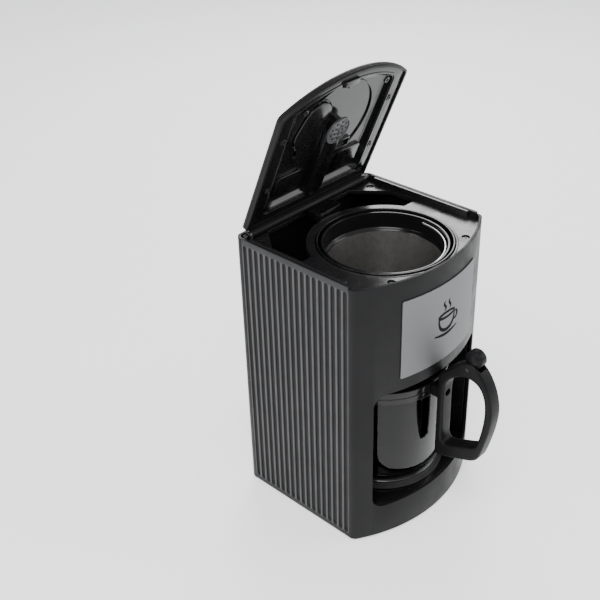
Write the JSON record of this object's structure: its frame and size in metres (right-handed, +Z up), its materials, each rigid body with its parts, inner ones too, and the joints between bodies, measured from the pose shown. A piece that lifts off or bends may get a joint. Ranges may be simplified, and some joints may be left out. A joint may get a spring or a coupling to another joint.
{
  "type": "drip coffee maker",
  "caption": "Drip coffee maker with a bowed front, fluted sides, hinged lid, lift-out cone basket and mesh filter, and a handled glass carafe on a warming plate.",
  "frame": {"origin": "on the surface the machine stands on, under the middle of its box, which the carafe handle and the rear cover set front to back", "axes": "+Z up, -Y towards the front with the carafe handle, +X to the machine's right side as seen from the front, where the switch is"},
  "size_m": [0.18, 0.2286, 0.4242],
  "materials": {
    "charcoal_plastic": "fine satin grain",
    "gloss_black_plastic": "polished",
    "dark_grey_plastic": "moulded",
    "brushed_steel": "brushed",
    "zinc_steel": "bright zinc plate",
    "aluminium": "as extruded",
    "black_enamel": "satin enamel",
    "rubber": "matt",
    "white_silicone": "satin",
    "smoked_glass": "clear polished",
    "fine_mesh": "fine woven mesh",
    "switch_red": "polished"
  },
  "bodies": {
    "body": {"side_panel_left": "charcoal_plastic", "side_panel_right": "charcoal_plastic", "front_cover": "charcoal_plastic", "rear_cover": "charcoal_plastic", "base_plate": "dark_grey_plastic", "rubber_foot_1": "rubber", "rubber_foot_2": "rubber", "rubber_foot_3": "rubber", "rubber_foot_4": "rubber", "base_screw_1": "zinc_steel", "base_screw_2": "zinc_steel", "base_screw_3": "zinc_steel", "base_screw_4": "zinc_steel", "top_deck": "charcoal_plastic", "deck_screw_1": "black_enamel", "deck_screw_2": "black_enamel", "deck_screw_3": "black_enamel", "deck_screw_4": "black_enamel", "bay_liner": "gloss_black_plastic", "bay_floor": "gloss_black_plastic", "bay_ceiling": "gloss_black_plastic", "water_tank": "gloss_black_plastic", "steel_badge": "brushed_steel", "lid_hinge_pin_left": "zinc_steel", "lid_hinge_pin_right": "zinc_steel", "warming_plate": "black_enamel", "plate_seal_ring": "rubber", "heating_tube": "aluminium", "heater_clamp": "zinc_steel", "thermostat": "dark_grey_plastic", "thermal_fuse": "aluminium", "check_valve": "white_silicone", "cold_hose": "white_silicone", "hot_hose": "white_silicone", "riser_tube": "dark_grey_plastic", "spout": "dark_grey_plastic", "switch_bezel": "gloss_black_plastic", "cord_gland": "rubber"},
    "lid": {"lid_shell": "charcoal_plastic", "lid_inner_plate": "gloss_black_plastic", "shower_head": "dark_grey_plastic"},
    "basket": {"filter_basket": "gloss_black_plastic", "valve_spring": "zinc_steel"},
    "drip_stop": {"drip_valve": "gloss_black_plastic", "valve_seal": "white_silicone"},
    "mesh_filter": {"filter_frame": "gloss_black_plastic", "filter_mesh": "fine_mesh"},
    "bail": {"filter_bail": "zinc_steel"},
    "carafe": {"carafe_glass": "smoked_glass", "carafe_band": "gloss_black_plastic", "carafe_handle": "charcoal_plastic", "handle_screw": "zinc_steel", "lever_pin": "zinc_steel"},
    "carafe_lid_unit": {"carafe_lid": "gloss_black_plastic", "thumb_lever": "gloss_black_plastic"},
    "rocker_unit": {"rocker": "switch_red"}
  },
  "joints": [
    {"name": "lid_hinge", "type": "hinge", "parent": "body", "child": "lid", "pos_m": [0, 0.1075, 0.2792], "axis": [-1, 0, 0], "range_deg": [-66.5, 23.5]},
    {"name": "basket_lift", "type": "slide", "parent": "body", "child": "basket", "axis": [0, 0, 1], "range_m": [0, 0.05]},
    {"name": "valve_push", "type": "slide", "parent": "basket", "child": "drip_stop", "axis": [0, 0, 1], "range_m": [0, 0.0025], "stiffness_N_per_m": 150, "springref_m": -0.004, "deforming": ["valve_spring"]},
    {"name": "filter_lift", "type": "slide", "parent": "basket", "child": "mesh_filter", "axis": [0, 0, 1], "range_m": [0, 0.06]},
    {"name": "bail_hinge", "type": "hinge", "parent": "mesh_filter", "child": "bail", "pos_m": [0, 0.0143, 0.271], "axis": [-1, 0, 0], "range_deg": [0, 180]},
    {"name": "carafe_slide", "type": "slide", "parent": "body", "child": "carafe", "axis": [0, -1, 0], "range_m": [0, 0.14]},
    {"name": "carafe_lid_hinge", "type": "hinge", "parent": "carafe", "child": "carafe_lid_unit", "pos_m": [0, -0.086, 0.1845], "axis": [1, 0, 0], "range_deg": [0, 3.5]},
    {"name": "switch_rock", "type": "hinge", "parent": "body", "child": "rocker_unit", "pos_m": [0.084, 0.008, 0.038], "axis": [0, 1, 0], "range_deg": [-16, 0]}
  ]
}
